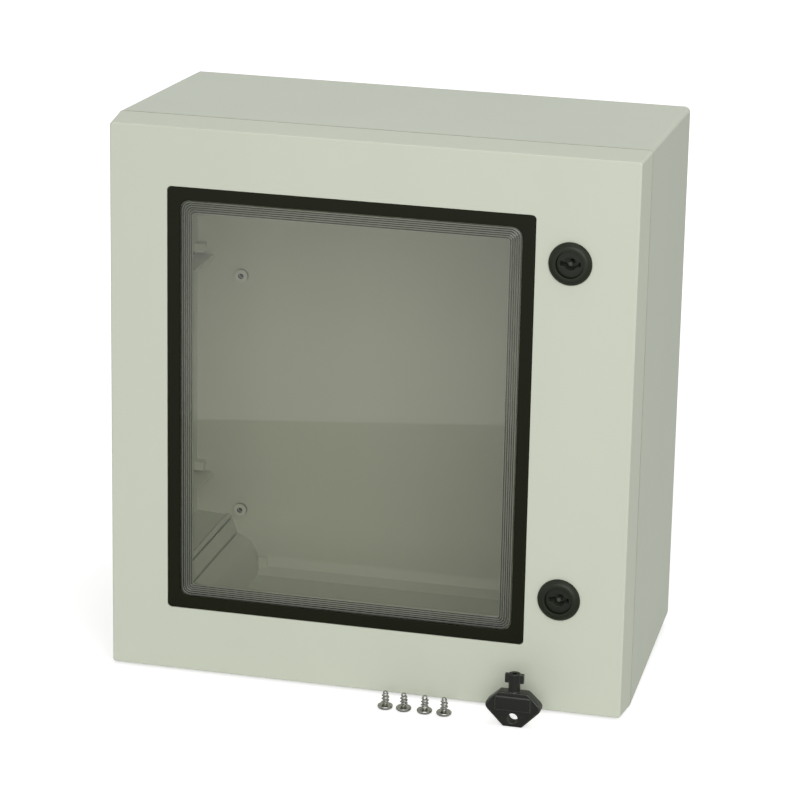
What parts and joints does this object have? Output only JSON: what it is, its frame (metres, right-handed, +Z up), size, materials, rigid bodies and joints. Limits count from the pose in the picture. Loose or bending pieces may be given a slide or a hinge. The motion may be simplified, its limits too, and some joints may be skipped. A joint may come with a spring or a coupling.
{
  "type": "hinged polycarbonate enclosure",
  "caption": "Moulded wall cabinet with a side-hinged door, a clear window in a black frame, two quarter-turn locks, a double-bit key and loose mounting-plate screws",
  "frame": {"origin": "Centre of the level field on the underside of the base, on which the cabinet stands", "axes": "+X to the cabinet's right seen from the front, +Y to the back (the wall), +Z up; the door faces -Y"},
  "size_m": [0.3796, 0.2285, 0.4],
  "materials": {
    "cabinet_shell": "fine spark-eroded texture, light grey polycarbonate",
    "door_shell": "fine spark-eroded texture, light grey polycarbonate",
    "frame_black": "satin black moulding",
    "retainer_black": "satin black moulding",
    "clear_pane": "clear polycarbonate, very slightly tinted",
    "rubber_seal": "matt black rubber",
    "foam_seal": "dark grey foamed polyurethane",
    "lock_black": "satin black moulding",
    "core_black": "satin black moulding",
    "key_black": "satin black glass-filled nylon",
    "plated_steel": "zinc plated",
    "hinge_steel": "drawn stainless pin",
    "screw_steel": "zinc plated",
    "kit_screw": "zinc plated, cold-headed"
  },
  "bodies": {
    "cabinet": {"base": "cabinet_shell", "upper_hinge_pin": "hinge_steel", "lower_hinge_pin": "hinge_steel", "upper_keeper": "plated_steel", "lower_keeper": "plated_steel", "keeper_screws": "screw_steel"},
    "door_leaf": {"door": "door_shell", "door_gasket": "foam_seal", "window_frame": "frame_black", "window_gasket": "rubber_seal", "window_pane": "clear_pane", "window_retainer": "retainer_black", "retainer_screws": "screw_steel", "upper_lock_body": "lock_black", "upper_lock_seal": "rubber_seal", "upper_lock_nut": "plated_steel", "lower_lock_body": "lock_black", "lower_lock_seal": "rubber_seal", "lower_lock_nut": "plated_steel"},
    "upper_lock": {"upper_lock_core": "core_black", "upper_lock_cam": "plated_steel", "upper_cam_screw": "screw_steel"},
    "lower_lock": {"lower_lock_core": "core_black", "lower_lock_cam": "plated_steel", "lower_cam_screw": "screw_steel"},
    "loose_kit": {"key": "key_black", "plate_screws": "kit_screw"}
  },
  "joints": [
    {"name": "door_swing", "type": "hinge", "parent": "cabinet", "child": "door_leaf", "pos_m": [-0.189, -0.069, 0.2], "axis": [0, 0, -1], "range_deg": [0, 180]},
    {"name": "upper_lock_turn", "type": "hinge", "parent": "door_leaf", "child": "upper_lock", "pos_m": [0.139, -0.098, 0.325], "axis": [0, -1, 0], "range_deg": [0, 90]},
    {"name": "lower_lock_turn", "type": "hinge", "parent": "door_leaf", "child": "lower_lock", "pos_m": [0.139, -0.098, 0.085], "axis": [0, -1, 0], "range_deg": [0, 90]},
    {"name": "kit_lift", "type": "slide", "parent": "door_leaf", "child": "loose_kit", "axis": [0, 0, 1], "range_m": [0, 0.12]}
  ]
}
